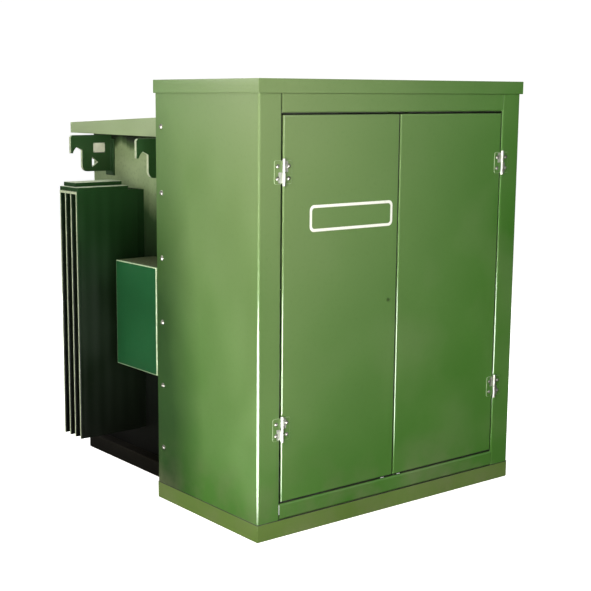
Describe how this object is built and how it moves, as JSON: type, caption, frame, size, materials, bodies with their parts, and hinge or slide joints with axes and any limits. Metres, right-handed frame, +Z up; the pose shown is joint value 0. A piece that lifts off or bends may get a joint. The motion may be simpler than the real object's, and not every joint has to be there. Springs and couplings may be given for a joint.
{
  "type": "pad-mounted transformer",
  "caption": "Ground-standing oil transformer: lockable two-door terminal cabinet in front of a finned tank with a sloping cover, lifting hooks and a side box.",
  "frame": {"origin": "on the ground, under the middle of the whole unit", "axes": "+Z up, -Y towards the doors, +X to the right when facing the doors"},
  "size_m": [1.678, 1.6002, 1.72],
  "materials": {
    "green_paint": "semi-gloss enamel over sheet steel",
    "dark_green_paint": "semi-gloss enamel over plate",
    "teal_green_paint": "semi-gloss enamel over sheet steel",
    "black_paint": "matt protective coat over channel",
    "zinc_steel": "zinc plated, slightly dull",
    "core_steel": "stacked laminations",
    "winding": "aluminium foil under paper wrap",
    "brass": "turned, lightly tarnished",
    "brown_epoxy": "cast epoxy, glossy",
    "grey_epoxy": "moulded epoxy, satin",
    "black_plastic": "moulded, satin",
    "dial_white": "smooth",
    "rubber": "matt"
  },
  "bodies": {
    "housing": {"base_plinth": "dark_green_paint", "bottom_rail": "green_paint", "compartment_barrier": "dark_green_paint", "core": "core_steel", "cover_gasket": "rubber", "drain_valve": "brass", "fuse_panel": "dark_green_paint", "hinge_left_lower_frame_leaf": "zinc_steel", "hinge_left_upper_frame_leaf": "zinc_steel", "hinge_right_lower_frame_leaf": "zinc_steel", "hinge_right_upper_frame_leaf": "zinc_steel", "hook_left_front": "dark_green_paint", "hook_left_rear": "dark_green_paint", "hook_right_front": "dark_green_paint", "hook_right_rear": "dark_green_paint", "hv_bushing_1": "grey_epoxy", "hv_bushing_2": "grey_epoxy", "hv_bushing_3": "grey_epoxy", "level_gauge": "dial_white", "lv_bushing_1": "brown_epoxy", "lv_bushing_2": "brown_epoxy", "lv_bushing_3": "brown_epoxy", "lv_bushing_4": "brown_epoxy", "radiator_left": "dark_green_paint", "radiator_right": "dark_green_paint", "rating_plate": "zinc_steel", "rear_panel": "green_paint", "relief_valve": "brass", "roof_cap": "green_paint", "side_box": "teal_green_paint", "side_box_lid": "teal_green_paint", "side_panel_left": "green_paint", "side_panel_right": "green_paint", "tank_base": "black_paint", "tank_cover": "green_paint", "tank_shell": "green_paint", "thermometer": "dial_white", "top_rail": "green_paint", "winding_1": "winding", "winding_2": "winding", "winding_3": "winding"},
    "door_left": {"door_left": "green_paint", "door_stiffener_left": "dark_green_paint", "hinge_left_upper_door_leaf": "zinc_steel", "hinge_left_lower_door_leaf": "zinc_steel"},
    "door_right": {"door_right": "green_paint", "door_stiffener_right": "dark_green_paint", "hinge_right_upper_door_leaf": "zinc_steel", "hinge_right_lower_door_leaf": "zinc_steel"},
    "lock": {"lock_cam": "zinc_steel"},
    "lock_rod_up": {"lock_rod_upper": "zinc_steel"},
    "lock_rod_down": {"lock_rod_lower": "zinc_steel"},
    "bolt_up": {"bolt_upper": "zinc_steel"},
    "bolt_down": {"bolt_lower": "zinc_steel"},
    "fuse_a": {"fuse_1": "black_plastic"},
    "fuse_b": {"fuse_2": "black_plastic"},
    "fuse_c": {"fuse_3": "black_plastic"},
    "switch": {"switch_handle": "black_plastic"},
    "tap_changer": {"tap_knob": "black_plastic"},
    "drain_lever": {"drain_handle": "zinc_steel"}
  },
  "joints": [
    {"name": "door_left_hinge", "type": "hinge", "parent": "housing", "child": "door_left", "pos_m": [-0.5855, -0.79315, 0.864], "axis": [0, 0, -1], "range_deg": [0, 120]},
    {"name": "door_right_hinge", "type": "hinge", "parent": "housing", "child": "door_right", "pos_m": [0.5855, -0.79315, 0.864], "axis": [0, 0, 1], "range_deg": [0, 120]},
    {"name": "lock_turn", "type": "hinge", "parent": "door_left", "child": "lock", "pos_m": [-0.045, -0.78515, 0.864], "axis": [0, -1, 0], "range_deg": [0, 90]},
    {"name": "lock_rod_up_slide", "type": "slide", "parent": "door_left", "child": "lock_rod_up", "axis": [0, 0, 1], "range_m": [0, 0.026]},
    {"name": "lock_rod_down_slide", "type": "slide", "parent": "door_left", "child": "lock_rod_down", "axis": [0, 0, -1], "range_m": [0, 0.026]},
    {"name": "bolt_up_slide", "type": "slide", "parent": "door_right", "child": "bolt_up", "axis": [0, 0, 1], "range_m": [0, 0.026]},
    {"name": "bolt_down_slide", "type": "slide", "parent": "door_right", "child": "bolt_down", "axis": [0, 0, -1], "range_m": [0, 0.026]},
    {"name": "fuse_1_withdraw", "type": "slide", "parent": "housing", "child": "fuse_a", "axis": [0, -1, 0], "range_m": [0, 0.26]},
    {"name": "fuse_2_withdraw", "type": "slide", "parent": "housing", "child": "fuse_b", "axis": [0, -1, 0], "range_m": [0, 0.26]},
    {"name": "fuse_3_withdraw", "type": "slide", "parent": "housing", "child": "fuse_c", "axis": [0, -1, 0], "range_m": [0, 0.26]},
    {"name": "switch_turn", "type": "hinge", "parent": "housing", "child": "switch", "pos_m": [-0.37, -0.12515, 1.2], "axis": [0, -1, 0], "range_deg": [0, 90]},
    {"name": "tap_turn", "type": "hinge", "parent": "housing", "child": "tap_changer", "pos_m": [-0.16, -0.12515, 1.2], "axis": [0, -1, 0], "range_deg": [0, 144]},
    {"name": "drain_turn", "type": "hinge", "parent": "housing", "child": "drain_lever", "pos_m": [0.41, -0.15685, 0.2343], "axis": [0, 0, -1], "range_deg": [0, 90]}
  ],
  "couplings": [
    {"joint": "lock_rod_up_slide", "follows": "lock_turn", "m_per_rad": 0.01655},
    {"joint": "lock_rod_down_slide", "follows": "lock_turn", "m_per_rad": 0.01655}
  ]
}
